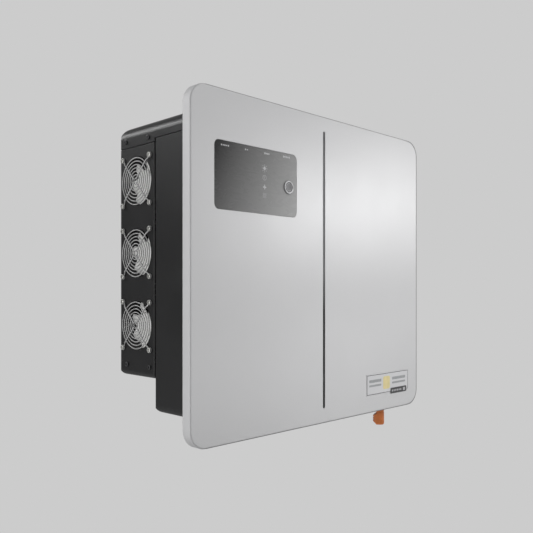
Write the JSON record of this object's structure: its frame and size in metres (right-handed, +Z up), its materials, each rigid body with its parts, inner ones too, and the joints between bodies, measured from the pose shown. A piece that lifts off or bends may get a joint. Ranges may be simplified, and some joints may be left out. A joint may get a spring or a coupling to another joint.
{
  "type": "string inverter",
  "caption": "Wall-hung string inverter: silver front cover with smoked display window, black finned-duct casing, side cooling fans, rotary DC isolator and cable entries below.",
  "frame": {"origin": "on the wall plane (rear face of the wall bracket), level with and centred on the front cover", "axes": "+X to the right seen from the front, +Y into the wall, +Z up; the cover faces -Y"},
  "size_m": [0.548, 0.2265, 0.5317],
  "materials": {
    "badge_dark": "satin",
    "badge_silver": "satin",
    "bearing_steel": "ground",
    "black_casing": "fine-textured black powder coat",
    "black_plastic": "satin",
    "black_screw": "blackened",
    "brass_post": "bright",
    "bright_ring": "polished",
    "button_grey": "satin",
    "capacitor_can": "sleeved",
    "cast_aluminium": "extruded",
    "choke_core": "varnished",
    "chromed_wire": "bright",
    "connector_black": "satin",
    "copper_winding": "enamelled",
    "fan_black": "satin",
    "foam_seal": "matt",
    "galvanised": "galvanised",
    "gland_plastic": "satin",
    "green_board": "solder resist",
    "groove_black": "matt",
    "knob_orange": "satin",
    "lcd": "gloss",
    "light_pipe": "clear",
    "module_black": "moulded",
    "relay_black": "moulded",
    "rotor_grey": "satin",
    "seal_rubber": "matt",
    "shaft_steel": "turned",
    "silver_cover": "satin silver powder coat",
    "smoked_window": "gloss, smoked",
    "spring_steel": "bright",
    "surge_grey": "satin",
    "switch_plastic": "satin",
    "terminal_grey": "satin",
    "zinc_screw": "zinc plated"
  },
  "bodies": {
    "inverter": {"ac_gland_body": "gland_plastic", "ac_gland_nut": "gland_plastic", "ac_gland_seal": "seal_rubber", "ac_relays": "relay_black", "ac_terminal_block": "terminal_grey", "badge_plate": "badge_silver", "badge_strip": "badge_dark", "board_standoffs": "brass_post", "boost_chokes": "choke_core", "breather_vent": "gland_plastic", "button_bezel": "bright_ring", "button_spring": "spring_steel", "button_switch": "black_plastic", "casing_screws": "black_screw", "com_port_cap": "gland_plastic", "control_board": "green_board", "cover_gasket": "seal_rubber", "dc_connectors": "connector_black", "dc_link_capacitors": "capacitor_can", "dc_switch_body": "switch_plastic", "dc_switch_escutcheon": "black_plastic", "display_board": "green_board", "display_window": "smoked_window", "duct_shell": "black_casing", "earth_stud": "zinc_screw", "fan_bearings": "bearing_steel", "fan_bottom_frame": "fan_black", "fan_bottom_guard": "chromed_wire", "fan_middle_frame": "fan_black", "fan_middle_guard": "chromed_wire", "fan_panel": "black_casing", "fan_screws": "zinc_screw", "fan_stators": "copper_winding", "fan_top_frame": "fan_black", "fan_top_guard": "chromed_wire", "front_cover": "silver_cover", "gland_locknuts": "gland_plastic", "hang_rail": "galvanised", "hang_rail_screws": "zinc_screw", "heat_sink": "cast_aluminium", "heat_sink_gasket": "seal_rubber", "indicator_light_pipes": "light_pipe", "lcd_module": "lcd", "lower_lock_tabs": "galvanised", "machine_screws": "zinc_screw", "main_housing": "black_casing", "outlet_grille": "black_casing", "power_board": "green_board", "power_modules": "module_black", "slot_inlay": "groove_black", "surge_protectors": "surge_grey", "top_cover": "black_casing", "wall_bracket": "galvanised", "window_gasket": "foam_seal"},
    "fan_top_wheel": {"fan_top_rotor": "rotor_grey"},
    "fan_middle_wheel": {"fan_middle_rotor": "rotor_grey"},
    "fan_bottom_wheel": {"fan_bottom_rotor": "rotor_grey"},
    "push_button": {"button_cap": "button_grey"},
    "isolator_handle": {"dc_switch_knob": "knob_orange", "dc_switch_shaft": "shaft_steel"}
  },
  "joints": [
    {"name": "fan_top_spin", "type": "hinge", "parent": "inverter", "child": "fan_top_wheel", "pos_m": [-0.2175, -0.0553, 0.1348], "axis": [1, 0, 0], "continuous": true},
    {"name": "fan_middle_spin", "type": "hinge", "parent": "inverter", "child": "fan_middle_wheel", "pos_m": [-0.2175, -0.0553, 0.0241], "axis": [1, 0, 0], "continuous": true},
    {"name": "fan_bottom_spin", "type": "hinge", "parent": "inverter", "child": "fan_bottom_wheel", "pos_m": [-0.2175, -0.0553, -0.0866], "axis": [1, 0, 0], "continuous": true},
    {"name": "push_button_travel", "type": "slide", "parent": "inverter", "child": "push_button", "axis": [0, 1, 0], "range_m": [0, 0.0015], "stiffness_N_per_m": 800, "springref_m": -0.0005, "deforming": ["button_spring"]},
    {"name": "isolator_turn", "type": "hinge", "parent": "inverter", "child": "isolator_handle", "pos_m": [0.2066, -0.188, -0.25], "axis": [0, 0, -1], "range_deg": [0, 90]}
  ]
}
